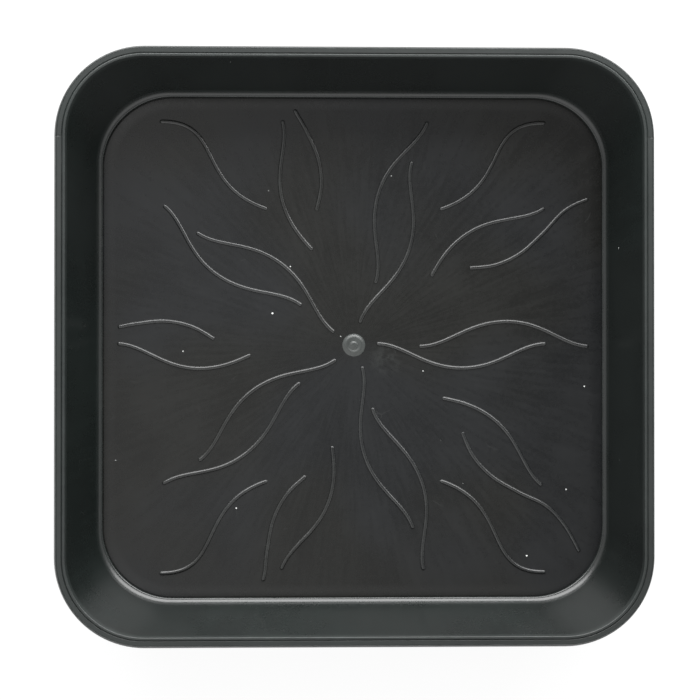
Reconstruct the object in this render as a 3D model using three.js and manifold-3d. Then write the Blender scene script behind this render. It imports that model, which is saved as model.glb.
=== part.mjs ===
// A square plant saucer, moulded in one shot of black plastic and drawn here feature by feature.
// Millimetres, +Z up, +Y to the back. The origin is on the table, under the middle of the saucer.

import * as THREE from 'three';
import { mergeVertices } from 'three/addons/utils/BufferGeometryUtils.js';
import Module from 'manifold-3d';

// Overall size
const RIM_WIDTH = 300;             // across the lower edge of the rim's skirt
const RIM_CORNER_RADIUS = 45;      // outside corner of the rim, in plan
const OVERALL_HEIGHT = 45;
const FLOOR_WIDTH = 258.2;         // across the floor, from step to step
const FLOOR_CORNER_RADIUS = 36.5;  // corner of the floor at the step, in plan

// Floor and wall
const FLOOR_THICKNESS = 2.2;
const WALL_THICKNESS = 2;
const HEEL_RADIUS = 2;             // outside edge under the floor

// Ledge round the floor, and the wall's foot on it
const LEDGE_RISE = 2;
const LEDGE_EDGE_RADIUS = 0.8;
const WALL_SETBACK = 2.35;         // from the step to where the wall's slope meets the ledge
const WALL_FILLET_RADIUS = 5;

// Rim
const LIP_THICKNESS = 2.4;
const BEAD_RADIUS = 0.5;           // rounding of the mouth
const BEAD_WIDTH = 1.3;
const BEAD_STEP = 0.25;            // width of the slope from the bead down to the land
const LAND_DROP = 0.35;            // land below the bead
const ROLL_RADIUS = 1.1;           // outside rounding of the lip
const SKIRT_DEPTH = 6.8;           // from the bead's top to the skirt's lower edge
const SKIRT_THICKNESS = 1.5;
const SKIRT_FLARE = 1;             // draft of the skirt's outside
const SKIRT_GAP = 1.4;             // between the wall and the skirt, at the mouth

// Gate in the floor, and the pattern of ribs about it
const PATTERN_SHIFT = [0.3, 1.2];  // right and back of the floor's middle
const GATE_DIAMETER = 11.8;
const GATE_COLLAR_WIDTH = 3.2;
const GATE_COLLAR_HEIGHT = 0.6;
const GATE_GROOVE_WIDTH = 0.35;    // between the collar and the pip
const GATE_PIP_HEIGHT = 0.7;
const GATE_RECESS_DIAMETER = 9;    // in the underside
const GATE_RECESS_DEPTH = 1;
const SPRUE_DIAMETER = 2.4;
const SPRUE_CLEARANCE = 0.3;       // from the table to the cut end
const SPRUE_TAPER = 0.3;           // loss of radius towards the cut end

// Ribs that hold the pot off the floor
const RIB_WIDTH = 2.2;             // at the floor
const RIB_TOP_WIDTH = 1;
const RIB_HEIGHT = 0.7;
const RIB_END_TAPER = 0.8;         // length over which an end rounds off
const RIB_END_SHARE = 0.55;        // section left at the very end
const RIB_MARGIN = 7.1;            // bare floor between the rib field and the step
const RIB_SECTOR_LEANS = [0, 0, 0, 0.35, -0.4];  // degrees off an even spread, for each sector
const RIB_GATE_CLEARANCE = 5.9;    // from the gate to the first rib
const RIB_STAGGER = 22;            // outer rib of a pair ahead of the inner one
const RIB_SWING_RIGHT = 12.6;      // bow of a long inner rib, clockwise
const RIB_SWING_LEFT = 12.8;       // bow of a long outer or short inner rib, the other way
const RIB_SHOULDER = 0.083;        // fullness of a bow on both sides of its peak, as a share of its swing
const RIB_TOE = 0.052;             // ends of a bow past its sector's line, as a share of its swing
const RIB_LAG = 0.038;             // how late a bow to the left fills out, as a share of its swing
const SHORT_RIB_START = 53.2;      // from the gate's middle
const SHORT_OUTER_COURSE = [       // outward past the field's edge, and clockwise of the sector's line
  [-50, 3], [-38, 9.6], [-24, 12.3], [-8, 10.7], [8, 7.9], [22, 10.5], [36, 16.8],
];
const CORNER_RIB_INSET = [22, 5.5];          // outer end, in from the two edges of the rib field
const CORNER_RIB_OUTER_HANDLE = [-34, 1];
const CORNER_RIB_INNER_END = [44.5, 70.3];   // from the gate's middle
const CORNER_RIB_INNER_HANDLE = [38.4, 12.2];

// Fineness of the curved stretches
const CORNER_STEPS = 5;
const ROUNDING_STEPS = 4;
const RIB_STEPS = 18;
const TURN_STEPS = 32;
const FIELD_PROBES = 400;

// Finish
const PLASTIC = { color: 0x0f1312, roughness: 0.28, metalness: 0 };

// Levels and half widths that follow from the sizes
const floorHalf = FLOOR_WIDTH / 2;
const rimHalf = RIM_WIDTH / 2;
const floorTop = FLOOR_THICKNESS;
const ledgeTop = floorTop + LEDGE_RISE;
const lipBottom = OVERALL_HEIGHT - LIP_THICKNESS;
const skirtTop = rimHalf - SKIRT_FLARE;
const mouthHalf = skirtTop - SKIRT_THICKNESS - SKIRT_GAP - WALL_THICKNESS;
const gateRadius = GATE_DIAMETER / 2;
const ribField = floorHalf - RIB_MARGIN;

// The wall leans out in a straight line from the ledge to the mouth.
const wallFoot = floorHalf + WALL_SETBACK;
const wallSlope = (mouthHalf - wallFoot) / (OVERALL_HEIGHT - ledgeTop);
const wallLean = Math.atan(wallSlope);
const wallInside = (z) => wallFoot + (z - ledgeTop) * wallSlope;
const wallOutside = (z) => wallInside(z) + WALL_THICKNESS / Math.cos(wallLean);

// The corner arcs spread with height, because the rim's corners are fuller than the floor's.
const floorArcCentre = floorHalf - FLOOR_CORNER_RADIUS;
const rimArcCentre = rimHalf - RIM_CORNER_RADIUS;
const arcCentre = (z) => {
  const rise = (z - floorTop) / (OVERALL_HEIGHT - floorTop);
  return THREE.MathUtils.lerp(floorArcCentre, rimArcCentre, rise);
};

// Points of a circular rounding in the wall's section, as [half width, height] pairs.
function rounding(half, z, radius, startAngle, endAngle) {
  const isClockwise = endAngle < startAngle;
  const arc = new THREE.EllipseCurve(half, z, radius, radius, startAngle, endAngle, isClockwise);
  return arc.getPoints(ROUNDING_STEPS).map((point) => [point.x, point.y]);
}

// Rounded square at one height, counter-clockwise from the right.
function level(half, z, centre = arcCentre(z)) {
  const radius = half - centre;
  const quarter = Math.PI / 2;
  const outline = new THREE.Path();
  outline.absarc(centre, centre, radius, 0, quarter);
  outline.absarc(-centre, centre, radius, quarter, 2 * quarter);
  outline.absarc(-centre, -centre, radius, 2 * quarter, 3 * quarter);
  outline.absarc(centre, -centre, radius, 3 * quarter, 4 * quarter);
  return outline.getPoints(CORNER_STEPS).map((point) => new THREE.Vector3(point.x, point.y, z));
}

// Skin over a row of outlines with equal numbers of points. A ring of outlines closes on itself,
// and any other row is closed by a flat cap at each end.
function skin(outlines, isRing) {
  const count = outlines[0].length;
  const indices = [];
  const bands = isRing ? outlines.length : outlines.length - 1;
  for (let band = 0; band < bands; band += 1) {
    const near = band * count;
    const far = ((band + 1) % outlines.length) * count;
    for (let i = 0; i < count; i += 1) {
      const next = (i + 1) % count;
      indices.push(near + i, near + next, far + next);
      indices.push(near + i, far + next, far + i);
    }
  }
  const last = bands * count;
  for (let i = 1; !isRing && i < count - 1; i += 1) {
    indices.push(0, i + 1, i);
    indices.push(last, last + i, last + i + 1);
  }
  const geometry = new THREE.BufferGeometry().setFromPoints(outlines.flat());
  geometry.setIndex(indices);
  return geometry;
}

// Ring with the given section, carried round the saucer.
function ringOf(section) {
  return skin(section.map((station) => level(...station)), true);
}

// Solid of revolution about an upright axis, from [radius, height] points.
function turned(profile) {
  const points = profile.map(([radius, z]) => new THREE.Vector2(radius, z));
  return new THREE.LatheGeometry(points, TURN_STEPS).rotateX(Math.PI / 2);
}

// Cut one closed geometry out of another.
const wasm = await Module();
wasm.setup();

function solidOf(geometry) {
  const bare = geometry.clone();
  bare.deleteAttribute('normal');
  bare.deleteAttribute('uv');
  const welded = mergeVertices(bare);
  const vertProperties = new Float32Array(welded.getAttribute('position').array);
  const triVerts = new Uint32Array(welded.getIndex().array);
  return new wasm.Manifold(new wasm.Mesh({ numProp: 3, vertProperties, triVerts }));
}

function cut(body, tool) {
  const mesh = solidOf(body).subtract(solidOf(tool)).getMesh();
  const geometry = new THREE.BufferGeometry();
  geometry.setAttribute('position', new THREE.BufferAttribute(mesh.vertProperties, 3));
  geometry.setIndex(new THREE.BufferAttribute(mesh.triVerts, 1));
  return geometry;
}

// Floor panel: flat plate whose outside follows the wall's slope down to a rounded heel.
function floorPanel() {
  const heel = Math.min(HEEL_RADIUS, FLOOR_THICKNESS);
  const heelCentre = wallOutside(heel) - heel / Math.cos(wallLean);
  const section = [
    ...rounding(heelCentre, heel, heel, -Math.PI / 2, -wallLean),
    [wallOutside(floorTop), floorTop],
  ];
  const plate = skin(section.map((station) => level(...station)), false);
  const recessRadius = GATE_RECESS_DIAMETER / 2;
  const recess = new THREE.CylinderGeometry(recessRadius, recessRadius, 2 * GATE_RECESS_DEPTH, TURN_STEPS);
  return cut(plate, recess.rotateX(Math.PI / 2).translate(...PATTERN_SHIFT, 0));
}

// Foot ledge: step with a rounded inner edge, on the floor panel.
const ledgeEdge = Math.min(LEDGE_EDGE_RADIUS, LEDGE_RISE, 0.85 * WALL_SETBACK);

function footLedge() {
  return ringOf([
    [wallOutside(floorTop), floorTop],
    [wallOutside(ledgeTop), ledgeTop],
    ...rounding(floorHalf + ledgeEdge, ledgeTop - ledgeEdge, ledgeEdge, Math.PI / 2, Math.PI),
    [floorHalf, floorTop],
  ]);
}

// Side wall: leaning wall with a fillet at its foot, on the ledge. A fillet too large to run out flat
// on the ledge stops at the step's rounded edge, which it meets at a slope.
function sideWall() {
  const steepness = Math.PI / 2 - wallLean;
  const room = WALL_SETBACK - ledgeEdge;
  const narrowest = 1 - (room * Math.sin(steepness)) / WALL_FILLET_RADIUS;
  const sweep = Math.acos(Math.max(narrowest, Math.cos(steepness)));
  const slope = steepness - sweep;
  const toe = wallFoot - (WALL_FILLET_RADIUS * (1 - Math.cos(sweep))) / Math.sin(steepness);
  const filletHalf = toe - WALL_FILLET_RADIUS * Math.sin(slope);
  const filletHeight = ledgeTop + WALL_FILLET_RADIUS * Math.cos(slope);
  return ringOf([
    [wallOutside(ledgeTop), ledgeTop],
    [wallOutside(lipBottom), lipBottom],
    [wallInside(lipBottom), lipBottom],
    ...rounding(filletHalf, filletHeight, WALL_FILLET_RADIUS, -wallLean, slope - Math.PI / 2),
  ]);
}

// Rim lip: bead at the mouth, flat land, outer roll and a skirt that hangs outside the wall.
function rimLip() {
  const skirtBottom = OVERALL_HEIGHT - SKIRT_DEPTH;
  const landTop = OVERALL_HEIGHT - LAND_DROP;
  const beadBottom = OVERALL_HEIGHT - BEAD_RADIUS;
  const beadInside = wallInside(beadBottom);
  const beadOutside = beadInside + BEAD_WIDTH;
  const onRimArcs = (points) => points.map(([half, z]) => [half, z, rimArcCentre]);
  return ringOf([
    ...onRimArcs([
      [rimHalf - SKIRT_THICKNESS, skirtBottom],
      [rimHalf, skirtBottom],
      ...rounding(skirtTop - ROLL_RADIUS, landTop - ROLL_RADIUS, ROLL_RADIUS, 0, Math.PI / 2),
      [beadOutside + BEAD_STEP, landTop],
      [beadOutside, OVERALL_HEIGHT],
    ]),
    ...rounding(beadInside + BEAD_RADIUS, beadBottom, BEAD_RADIUS, Math.PI / 2, Math.PI),
    [wallInside(lipBottom), lipBottom],
    [wallOutside(lipBottom), lipBottom],
    ...onRimArcs([[skirtTop - SKIRT_THICKNESS, lipBottom]]),
  ]);
}

// Gate: a round-topped collar and, inside its groove, a domed pip.
function gateCollar() {
  const halfWidth = GATE_COLLAR_WIDTH / 2;
  const middle = gateRadius - halfWidth;
  const crown = new THREE.EllipseCurve(middle, floorTop, halfWidth, GATE_COLLAR_HEIGHT, 0, Math.PI);
  const section = crown.getPoints(2 * ROUNDING_STEPS).map((point) => [point.x, point.y]);
  return turned([...section, section[0]]);
}

function gatePip() {
  const radius = gateRadius - GATE_COLLAR_WIDTH - GATE_GROOVE_WIDTH;
  const dome = new THREE.EllipseCurve(0, floorTop, radius, GATE_PIP_HEIGHT, 0, Math.PI / 2);
  const section = dome.getPoints(ROUNDING_STEPS).map((point) => [point.x, point.y]);
  const crown = [0, floorTop + GATE_PIP_HEIGHT];
  return turned([[0, floorTop], ...section.slice(0, -1), crown]);
}

// Sprue stub: what is left of the sprue, hanging from the roof of the recess and clear of the table.
function sprueStub() {
  const radius = SPRUE_DIAMETER / 2;
  return turned([
    [0, SPRUE_CLEARANCE],
    [radius - SPRUE_TAPER, SPRUE_CLEARANCE],
    [radius, GATE_RECESS_DEPTH],
    [0, GATE_RECESS_DEPTH],
  ]);
}

// Plan course of a rib that crosses the line of its sector, bows to one side and comes back over it.
class Bow extends THREE.Curve {
  constructor(start, reach, swing, lag, cutStart = start) {
    super();
    this.start = start;
    this.reach = reach;
    this.swing = swing;
    this.lag = lag;
    this.firstShare = (cutStart - start) / reach;
  }

  getPoint(share, target = new THREE.Vector2()) {
    const along = this.firstShare + (1 - this.firstShare) * share;
    const wave = (1 - Math.cos(2 * Math.PI * along)) / 2;
    const shoulders = (1 - Math.cos(4 * Math.PI * along)) / 2;
    const delay = this.lag * Math.sin(2 * Math.PI * along);
    const aside = this.swing * (wave + RIB_SHOULDER * shoulders - delay - RIB_TOE);
    return target.set(this.start + this.reach * along, -aside);
  }
}

// Share of a course that lies in the square rib field when the course is turned about the gate.
function shareInField(course, angle) {
  const middle = new THREE.Vector2();
  for (let probe = 0; probe <= FIELD_PROBES; probe += 1) {
    const { x, y } = course.getPoint(probe / FIELD_PROBES).rotateAround(middle, angle);
    if (Math.max(Math.abs(x), Math.abs(y)) > ribField) {
      return (probe - 1) / FIELD_PROBES;
    }
  }
  return 1;
}

// Rib along a plan course, standing on the floor: sloping sides, a flat top and rounded-off ends.
function rib(course, lastShare = 1) {
  const endStep = RIB_END_TAPER / course.getLength();
  const shares = [0];
  for (let i = 0; i <= RIB_STEPS; i += 1) {
    shares.push(THREE.MathUtils.lerp(endStep, lastShare - endStep, i / RIB_STEPS));
  }
  shares.push(lastShare);
  const outlines = shares.map((share, i) => {
    const isEnd = i === 0 || i === shares.length - 1;
    const size = isEnd ? RIB_END_SHARE : 1;
    const centre = course.getPoint(share);
    const tangent = course.getTangent(share);
    const place = (left, up) => new THREE.Vector3(
      centre.x - tangent.y * left * size,
      centre.y + tangent.x * left * size,
      floorTop + up * size,
    );
    return [
      place(-RIB_WIDTH / 2, 0),
      place(RIB_WIDTH / 2, 0),
      place(RIB_TOP_WIDTH / 2, RIB_HEIGHT),
      place(-RIB_TOP_WIDTH / 2, RIB_HEIGHT),
    ];
  });
  return skin(outlines, false);
}

// Courses of the ribs in one sector
const innerStart = gateRadius + RIB_GATE_CLEARANCE;
const outerStart = innerStart + RIB_STAGGER;
const bowReach = ribField - outerStart;
const longInner = new Bow(innerStart, bowReach, RIB_SWING_RIGHT, 0);
const longOuter = new Bow(outerStart, bowReach, -RIB_SWING_LEFT, RIB_LAG);
const shortInner = new Bow(outerStart, bowReach, -RIB_SWING_LEFT, RIB_LAG, SHORT_RIB_START);
const shortOuter = new THREE.SplineCurve(
  SHORT_OUTER_COURSE.map(([outward, clockwise]) => new THREE.Vector2(ribField + outward, -clockwise)),
);

// Course of a rib in the corner that the two signs name. Its outer end keeps its place in the floor,
// and its inner end goes with the gate.
function cornerCourse(signs) {
  const inCorner = (sizes) => new THREE.Vector2(...sizes).multiply(signs);
  const outerEnd = inCorner(CORNER_RIB_INSET.map((inset) => ribField - inset));
  outerEnd.sub(new THREE.Vector2(...PATTERN_SHIFT));
  const innerEnd = inCorner(CORNER_RIB_INNER_END);
  return new THREE.CubicBezierCurve(
    outerEnd,
    inCorner(CORNER_RIB_OUTER_HANDLE).add(outerEnd),
    inCorner(CORNER_RIB_INNER_HANDLE).add(innerEnd),
    innerEnd,
  );
}

// The saucer, one named mesh for each feature
const saucer = new THREE.Group();

function addFeature(name, geometry) {
  geometry.computeVertexNormals();
  const mesh = new THREE.Mesh(geometry, new THREE.MeshStandardMaterial(PLASTIC));
  mesh.name = name;
  saucer.add(mesh);
  return mesh;
}

// Features of the pattern, turned about the gate and moved with it
function addToPattern(name, geometry, angle = 0) {
  const mesh = addFeature(name, geometry);
  mesh.rotation.z = angle;
  mesh.position.set(...PATTERN_SHIFT, 0);
}

addFeature('floor_panel', floorPanel());
addFeature('foot_ledge', footLedge());
addFeature('side_wall', sideWall());
addFeature('rim_lip', rimLip());
addToPattern('gate_collar', gateCollar());
addToPattern('gate_pip', gatePip());
addToPattern('sprue_stub', sprueStub());

const sectorPitch = (2 * Math.PI) / RIB_SECTOR_LEANS.length;
RIB_SECTOR_LEANS.forEach((lean, sector) => {
  const longAngle = sector * sectorPitch + THREE.MathUtils.degToRad(lean);
  const shortAngle = longAngle + sectorPitch / 2;
  const lastShare = shareInField(shortOuter, shortAngle);
  const label = sector + 1;
  addToPattern(`rib_long_inner_${label}`, rib(longInner), longAngle);
  addToPattern(`rib_long_outer_${label}`, rib(longOuter), longAngle);
  addToPattern(`rib_short_inner_${label}`, rib(shortInner), shortAngle);
  addToPattern(`rib_short_outer_${label}`, rib(shortOuter, lastShare), shortAngle);
});

const corners = [[1, 1], [-1, 1], [-1, -1], [1, -1]];
corners.forEach((signs, i) => {
  addToPattern(`rib_corner_${i + 1}`, rib(cornerCourse(new THREE.Vector2(...signs))));
});

export default saucer;
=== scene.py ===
"""Square plant saucer: a moulded black tray with a rolled rim and waved ribs on its floor.

Metres, +Z up, +Y to the back. Each piece stands where its CAD node stands and replaces it.
"""

import logging
import math
from dataclasses import dataclass, replace
from enum import Enum
from typing import Any, Callable, ClassVar, Iterable, Sequence

import bmesh
import bpy
from mathutils import Matrix, Vector


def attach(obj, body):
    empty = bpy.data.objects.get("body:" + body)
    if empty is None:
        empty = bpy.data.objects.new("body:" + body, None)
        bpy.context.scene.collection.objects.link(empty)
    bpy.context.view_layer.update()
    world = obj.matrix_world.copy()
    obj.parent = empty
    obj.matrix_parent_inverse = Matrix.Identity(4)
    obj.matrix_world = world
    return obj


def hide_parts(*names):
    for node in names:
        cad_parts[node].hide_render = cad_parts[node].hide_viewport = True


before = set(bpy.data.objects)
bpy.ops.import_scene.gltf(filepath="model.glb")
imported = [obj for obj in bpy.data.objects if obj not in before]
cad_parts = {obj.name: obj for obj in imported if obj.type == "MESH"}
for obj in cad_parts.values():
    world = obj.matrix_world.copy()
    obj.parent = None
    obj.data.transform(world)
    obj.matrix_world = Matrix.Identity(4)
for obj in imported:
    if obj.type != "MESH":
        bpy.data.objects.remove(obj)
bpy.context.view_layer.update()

MM = 0.001
BODY = "root"
EDGE_ATTRIBUTE = "edge"
WHITE = (1.0, 1.0, 1.0, 1.0)
FLAT = (1.0, 1.0, 0.0)

log = logging.getLogger("saucer")

Pair = tuple[float, float]
Place = tuple[float, float, float]
Colour = tuple[float, float, float, float]
Row = list[bmesh.types.BMVert]
Piece = bpy.types.Object
Socket = bpy.types.NodeSocket
Outputs = bpy.types.NodeOutputs
Course = Callable[[float], Vector]


class Slot(Enum):
    """Names of material slots."""

    MOULDED = "moulded_plastic"
    GATE = "gate_plastic"


class Hand(Enum):
    """Side to which a rib bows, seen from above and from the gate outward."""

    CLOCKWISE = 1
    ANTICLOCKWISE = -1


@dataclass(frozen=True)
class Station:
    """One point of a section that is carried round the saucer.

    Attributes:
        half: Half width of the rounded square at this point.
        z: Height above the table.
        centre: Distance of the corner arcs' centres from the middle, or None for the wall's own.
        edge: How far the point lies on an exposed edge, from 0 to 1.
    """

    half: float
    z: float
    centre: float | None = None
    edge: float = 0.0


@dataclass(frozen=True)
class SaucerShape:
    """Driving sizes of the saucer, and the levels and half widths that follow from them."""

    rim_width: float = 300 * MM
    rim_corner_radius: float = 45 * MM
    overall_height: float = 45 * MM
    floor_width: float = 258.2 * MM
    floor_corner_radius: float = 36.5 * MM
    floor_top: float = 2.2 * MM
    wall_thickness: float = 2 * MM
    ledge_rise: float = 2 * MM
    ledge_edge_radius: float = 0.8 * MM
    wall_setback: float = 2.35 * MM
    lip_thickness: float = 2.4 * MM
    skirt_thickness: float = 1.5 * MM
    skirt_flare: float = 1 * MM
    skirt_gap: float = 1.4 * MM
    gate_radius: float = 5.9 * MM
    recess_depth: float = 1 * MM
    pattern_shift: Pair = (0.3 * MM, 1.2 * MM)
    corner_steps: int = 24
    side_steps: int = 10

    @property
    def rim_half(self) -> float:
        """Half width at the skirt's lower edge."""
        return self.rim_width / 2

    @property
    def floor_half(self) -> float:
        """Half width of the floor, at the step."""
        return self.floor_width / 2

    @property
    def ledge_top(self) -> float:
        """Height of the ledge round the floor."""
        return self.floor_top + self.ledge_rise

    @property
    def lip_bottom(self) -> float:
        """Height at which the wall ends and the lip begins."""
        return self.overall_height - self.lip_thickness

    @property
    def skirt_top(self) -> float:
        """Half width of the skirt's outside where the roll begins."""
        return self.rim_half - self.skirt_flare

    @property
    def mouth_half(self) -> float:
        """Half width of the mouth."""
        return self.skirt_top - self.skirt_thickness - self.skirt_gap - self.wall_thickness

    @property
    def wall_foot(self) -> float:
        """Half width at which the wall's slope meets the ledge."""
        return self.floor_half + self.wall_setback

    @property
    def wall_slope(self) -> float:
        """Outward run of the wall for each unit of height."""
        return (self.mouth_half - self.wall_foot) / (self.overall_height - self.ledge_top)

    @property
    def wall_lean(self) -> float:
        """Angle of the wall from upright, in radians."""
        return math.atan(self.wall_slope)

    @property
    def rim_arc_centre(self) -> float:
        """Distance of the rim's corner arcs from the middle."""
        return self.rim_half - self.rim_corner_radius

    def wall_inside(self, z: float) -> float:
        """Half width of the wall's inner face at a height."""
        return self.wall_foot + (z - self.ledge_top) * self.wall_slope

    def wall_outside(self, z: float) -> float:
        """Half width of the wall's outer face at a height."""
        return self.wall_inside(z) + self.wall_thickness / math.cos(self.wall_lean)

    def arc_centre(self, z: float) -> float:
        """Place the wall's corner arcs, which spread with height.

        Args:
            z: Height above the table.

        Returns:
            Distance of the arcs' centres from the middle.
        """
        floor_centre = self.floor_half - self.floor_corner_radius
        rise = (z - self.floor_top) / (self.overall_height - self.floor_top)
        return floor_centre + rise * (self.rim_arc_centre - floor_centre)

    def level(self, station: Station, side_marks: Sequence[float] = ()) -> list[Vector]:
        """Draw the rounded square at one station, counter-clockwise from the right.

        Args:
            station: Point of the section.
            side_marks: Distances from each end of a straight side at which it gets an extra point.

        Returns:
            The outline's points, corner by corner, with each corner followed by a straight side.
        """
        centre = self.arc_centre(station.z) if station.centre is None else station.centre
        radius = station.half - centre
        length = 2 * centre
        inner = max(side_marks, default=0.0)
        spread = [inner + (length - 2 * inner) * i / self.side_steps for i in range(1, self.side_steps)]
        places = [*side_marks, *spread, *(length - mark for mark in reversed(side_marks))]
        outline = []
        for quarter in range(4):
            turn = Matrix.Rotation(quarter * math.pi / 2, 3, "Z")
            for i in range(self.corner_steps + 1):
                angle = i / self.corner_steps * math.pi / 2
                along = Vector((math.cos(angle), math.sin(angle), 0))
                outline.append(turn @ (Vector((centre, centre, station.z)) + radius * along))
            for place in places:
                outline.append(turn @ Vector((centre - place, station.half, station.z)))
        return outline


def rounding(centre: Pair, radius: float, start: float, end: float, steps: int = 8) -> list[Pair]:
    """Points of a circular rounding in a section, between two angles in degrees."""
    angles = [math.radians(start + (end - start) * i / steps) for i in range(steps + 1)]
    return [(centre[0] + radius * math.cos(a), centre[1] + radius * math.sin(a)) for a in angles]


def stations(points: Iterable[Pair], centre: float | None = None, edge: float = 0.0) -> list[Station]:
    """Stations at pairs of half width and height that share an arc centre and an edge value."""
    return [Station(half, z, centre, edge) for half, z in points]


class Skin:
    """A closed surface over rows of points, with an edge value at each point."""

    SHARP_ANGLE: ClassVar[float] = math.radians(32)

    def __init__(self) -> None:
        """Start with an empty mesh."""
        self.mesh = bmesh.new()
        self.edge = self.mesh.verts.layers.float.new(EDGE_ATTRIBUTE)

    @classmethod
    def carried(cls, shape: SaucerShape, section: list[Station], side_marks: Sequence[float] = ()) -> "Skin":
        """Carry a section round the saucer.

        Args:
            shape: Sizes of the saucer.
            section: Stations of the section, in order round it.
            side_marks: Extra points on the straight sides.

        Returns:
            The closed skin.
        """
        skin = cls()
        skin.ring([skin.row(shape.level(station, side_marks), station.edge) for station in section])
        return skin

    def row(self, points: Iterable[Vector], edge: float = 0.0) -> Row:
        """Add one row of points.

        Args:
            points: Places of the points.
            edge: Edge value of the whole row.

        Returns:
            The new vertices, in order.
        """
        verts = [self.mesh.verts.new(point) for point in points]
        for vert in verts:
            vert[self.edge] = edge
        return verts

    def band(self, near: Row, far: Row) -> None:
        """Join two closed rows of equal length with four-sided faces."""
        for corners in zip(near, near[1:] + near[:1], far[1:] + far[:1], far):
            self.mesh.faces.new(corners)

    def ring(self, rows: list[Row]) -> None:
        """Join each row to the next, and the last to the first."""
        for near, far in zip(rows, rows[1:] + rows[:1]):
            self.band(near, far)

    def tube(self, rows: list[Row]) -> None:
        """Join each row to the next, and close both ends with flat faces.

        Args:
            rows: Closed rows of equal length.
        """
        for near, far in zip(rows, rows[1:]):
            self.band(near, far)
        self.mesh.faces.new(rows[0])
        self.mesh.faces.new(rows[-1])

    def piece(self, name: str, finish: "PlasticFinish") -> Piece:
        """Finish the mesh as a piece that replaces the CAD node of its name.

        Args:
            name: Name of the CAD node, and of the piece with a suffix.
            finish: Plastic that the piece is dressed in.

        Returns:
            The new object, riding on the saucer's body.
        """
        bmesh.ops.recalc_face_normals(self.mesh, faces=self.mesh.faces)
        for face in self.mesh.faces:
            face.smooth = True
        for edge in self.mesh.edges:
            edge.smooth = edge.calc_face_angle(0.0) < self.SHARP_ANGLE
        data = bpy.data.meshes.new(f"{name}_skin")
        self.mesh.to_mesh(data)
        self.mesh.free()
        data.materials.append(finish.material())
        piece = bpy.data.objects.new(f"{name}_moulded", data)
        bpy.context.scene.collection.objects.link(piece)
        normals = piece.modifiers.new("even_shading", "WEIGHTED_NORMAL")
        normals.keep_sharp = True
        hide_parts(name)
        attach(piece, BODY)
        return piece


class NodeBench:
    """Places and wires the nodes of one tree."""

    def __init__(self, tree: bpy.types.NodeTree) -> None:
        """Work on the given tree."""
        self.tree = tree

    @classmethod
    def cleared(cls, owner: bpy.types.Material | bpy.types.World) -> "NodeBench":
        """Give a material or a world an empty tree.

        Args:
            owner: What the tree belongs to.

        Returns:
            A bench on that tree.
        """
        owner.use_nodes = True
        owner.node_tree.nodes.clear()
        return cls(owner.node_tree)

    def add(self, kind: str, inputs: dict[Any, Any] | None = None, **settings: Any) -> bpy.types.Node:
        """Place a node.

        Args:
            kind: Blender's name of the node type, after the prefix that shader nodes share.
            inputs: Values or sockets for the node's inputs, by name or number.
            **settings: Properties of the node itself.

        Returns:
            The new node.
        """
        node = self.tree.nodes.new(f"ShaderNode{kind}")
        for name, value in settings.items():
            setattr(node, name, value)
        for key, value in (inputs or {}).items():
            self.feed(node.inputs[key], value)
        return node

    def feed(self, socket: Socket, value: Any) -> None:
        """Link a socket to an input, or set a plain value on it.

        Args:
            socket: The input.
            value: Socket to link, or value to set.
        """
        if isinstance(value, Socket):
            self.tree.links.new(value, socket)
        else:
            socket.default_value = value

    def math(self, operation: str, *operands: Any, clamp: bool = False) -> Socket:
        """Place a Math node and return its output."""
        inputs = dict(enumerate(operands))
        return self.add("Math", inputs, operation=operation, use_clamp=clamp).outputs[0]

    def vector(self, operation: str, *operands: Any, output: str = "Vector") -> Socket:
        """Place a Vector Math node and return its vector, or its value."""
        inputs = dict(enumerate(operands))
        return self.add("VectorMath", inputs, operation=operation).outputs[output]

    def scaled(self, vector: Any, factor: Any) -> Socket:
        """Scale a vector by a number."""
        node = self.add("VectorMath", {"Vector": vector, "Scale": factor}, operation="SCALE")
        return node.outputs["Vector"]

    def ramp(self, value: Any, low: float, high: float, start: Any = 0.0, end: Any = 1.0) -> Socket:
        """Map a value smoothly from low and high to start and end, and hold it there."""
        inputs = {"Value": value, "From Min": low, "From Max": high, "To Min": start, "To Max": end}
        return self.add("MapRange", inputs, interpolation_type="SMOOTHSTEP").outputs["Result"]

    def blend(self, factor: Any, first: Any, second: Any) -> Socket:
        """Mix two colours."""
        node = self.add("Mix", {0: factor, 6: first, 7: second}, data_type="RGBA")
        return node.outputs[2]

    def noise(self, vector: Any, scale: Any, detail: float, roughness: float = 0.5) -> Socket:
        """Noise over a vector, at a scale."""
        inputs = {"Vector": vector, "Scale": scale, "Detail": detail, "Roughness": roughness}
        return self.add("TexNoise", inputs).outputs["Fac"]


@dataclass(frozen=True)
class Port:
    """A named socket of a node group, with its starting value where it is a number."""

    name: str
    kind: str = "NodeSocketFloat"
    value: float | None = None


VECTOR = Port("Vector", "NodeSocketVector")


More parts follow.
